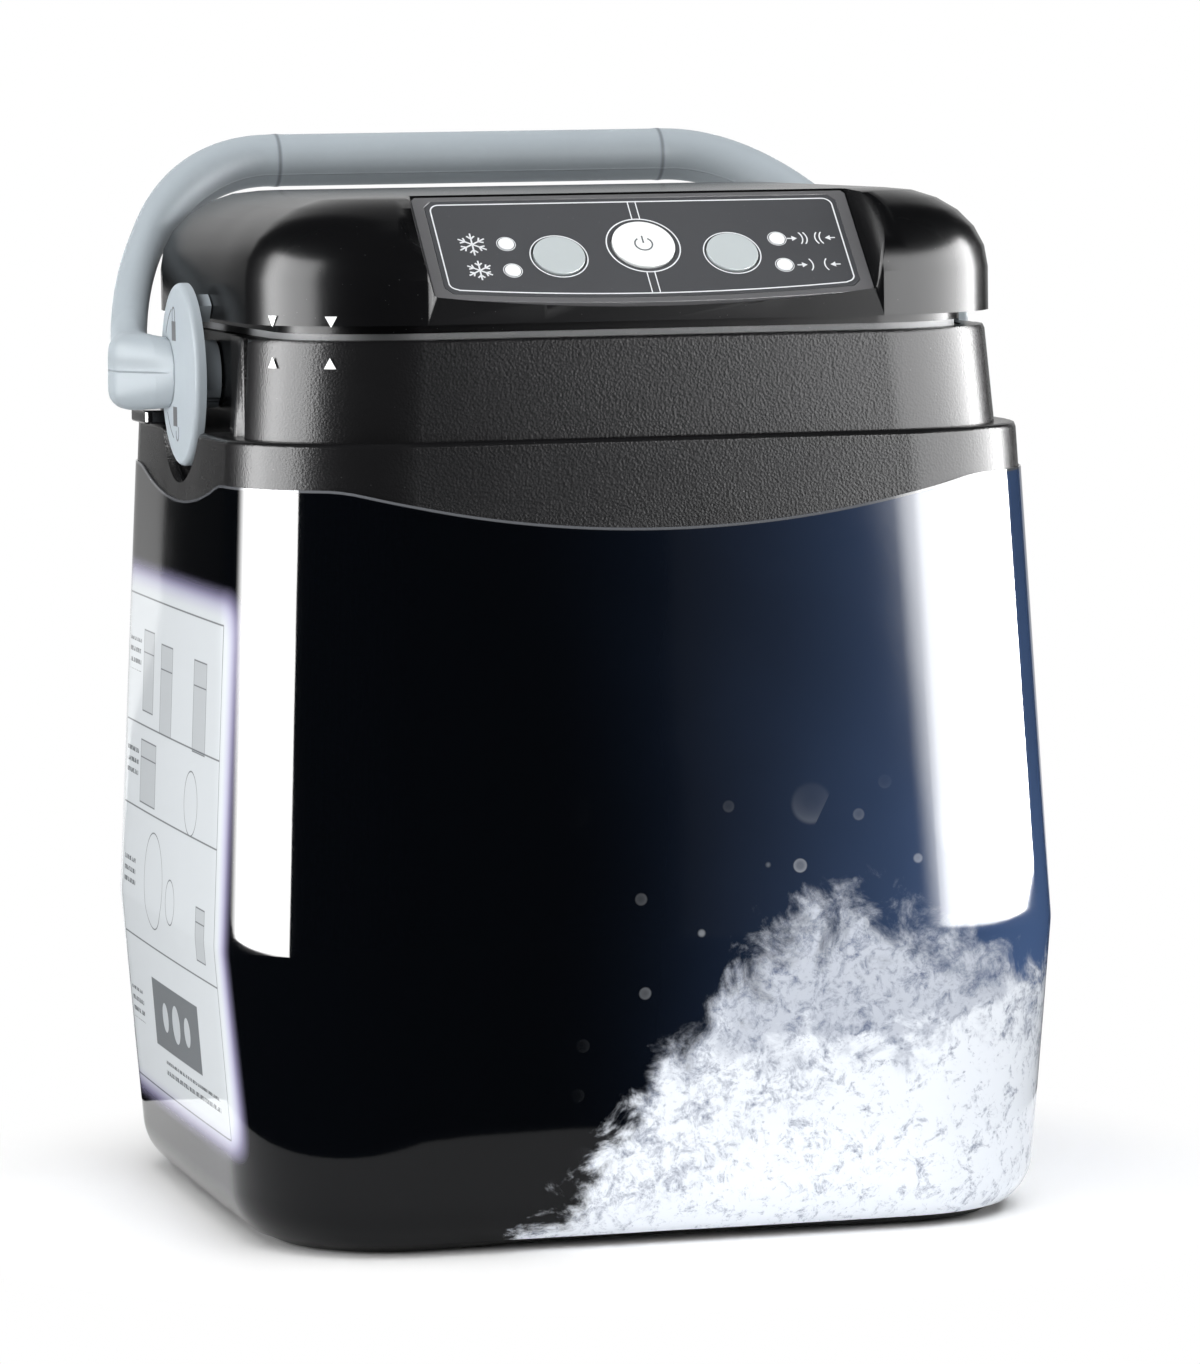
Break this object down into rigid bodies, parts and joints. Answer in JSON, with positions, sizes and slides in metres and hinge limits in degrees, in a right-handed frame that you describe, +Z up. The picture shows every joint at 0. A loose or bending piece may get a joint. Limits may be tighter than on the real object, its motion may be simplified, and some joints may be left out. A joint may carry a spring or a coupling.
{
  "type": "hot cold therapy machine",
  "caption": "Cooler-style hot and cold therapy machine with a lid-top control panel, a swing handle, a water pump and an air compressor in the lid.",
  "frame": {"origin": "middle of the case's footprint, on the plane that the feet stand on", "axes": "X to the right seen from the front, Y to the back, Z up"},
  "size_m": [0.239, 0.2261, 0.2862],
  "materials": {
    "case_black": "moulded black plastic with a fine texture",
    "lid_black": "satin black moulded plastic",
    "sleeve_print": "glossy printed film, black to blue",
    "handle_grey": "smooth light blue-grey plastic",
    "rubber_black": "smooth black rubber",
    "foam_cream": "cut insulating foam",
    "tank_grey": "smooth light grey plastic",
    "screw_steel": "turned steel",
    "mark_white": "printed white ink",
    "seal_grey": "soft grey sealing rubber",
    "bezel_grey": "satin mid grey plastic",
    "overlay_dark": "dark grey printed film",
    "lens_white": "clear white lens",
    "button_grey": "pale grey plastic",
    "button_white": "white plastic",
    "board_green": "green circuit board",
    "works_dark": "dark moulded plastic",
    "motor_metal": "drawn steel can",
    "impeller_white": "natural white plastic",
    "tube_clear": "flexible clear tube",
    "wire_red": "insulated wire"
  },
  "bodies": {
    "case": {"case_shell": "case_black", "print_sleeve": "sleeve_print", "base_plate": "case_black", "rubber_feet": "rubber_black", "base_screws": "screw_steel", "foam_jacket": "foam_cream", "ice_tank": "tank_grey", "pivot_pin_left": "screw_steel", "pivot_pin_right": "screw_steel", "handle_stops": "rubber_black", "align_marks_neck": "mark_white"},
    "handle": {"handle_bow": "handle_grey", "hub_left": "handle_grey", "hub_right": "handle_grey", "hub_screws": "screw_steel"},
    "lid": {"lid_cover": "lid_black", "lid_base": "lid_black", "lid_seal": "seal_grey", "lid_foam": "foam_cream", "lid_screws": "screw_steel", "align_marks_lid": "mark_white", "control_bezel": "bezel_grey", "panel_overlay": "overlay_dark", "led_lenses": "lens_white", "control_board": "board_green", "board_screws": "screw_steel", "tact_switches": "works_dark", "hose_socket": "works_dark", "socket_screws": "screw_steel", "latch_spring": "screw_steel", "power_inlet": "works_dark", "pump_stem": "works_dark", "pump_housing": "works_dark", "pump_motor": "motor_metal", "pump_strainer": "works_dark", "supply_tube": "tube_clear", "return_tube": "tube_clear", "compressor_body": "works_dark", "compressor_motor": "motor_metal", "diaphragm_head": "works_dark", "air_valve": "works_dark", "air_tube": "tube_clear", "wiring_harness": "wire_red"},
    "cold_button": {"cold_button": "button_grey"},
    "power_button": {"power_button": "button_white"},
    "compression_button": {"compression_button": "button_grey"},
    "impeller": {"impeller": "impeller_white"},
    "crank": {"crank": "screw_steel"},
    "release_latch": {"release_latch": "button_grey"}
  },
  "joints": [
    {"name": "handle_swing", "type": "hinge", "parent": "case", "child": "handle", "pos_m": [0, 0, 0.2236], "axis": [1, 0, 0], "range_deg": [0, 126]},
    {"name": "lid_lift", "type": "slide", "parent": "case", "child": "lid", "axis": [0, 0, 1], "range_m": [0, 0.245]},
    {"name": "cold_press", "type": "slide", "parent": "lid", "child": "cold_button", "axis": [0, 0.682, -0.7314], "range_m": [0, 0.0008], "stiffness_N_per_m": 600, "springref_m": -0.0004},
    {"name": "power_press", "type": "slide", "parent": "lid", "child": "power_button", "axis": [0, 0.682, -0.7314], "range_m": [0, 0.0008], "stiffness_N_per_m": 600, "springref_m": -0.0004},
    {"name": "compression_press", "type": "slide", "parent": "lid", "child": "compression_button", "axis": [0, 0.682, -0.7314], "range_m": [0, 0.0008], "stiffness_N_per_m": 600, "springref_m": -0.0004},
    {"name": "impeller_spin", "type": "hinge", "parent": "lid", "child": "impeller", "pos_m": [0.05, 0.042, 0.038], "axis": [0, 0, 1], "continuous": true},
    {"name": "crank_spin", "type": "hinge", "parent": "lid", "child": "crank", "pos_m": [-0.03, 0.008, 0.2379], "axis": [1, 0, 0], "continuous": true},
    {"name": "latch_press", "type": "slide", "parent": "lid", "child": "release_latch", "axis": [0, 0, -1], "range_m": [0, 0.0015], "stiffness_N_per_m": 500, "springref_m": -0.0005, "deforming": ["latch_spring"]}
  ]
}
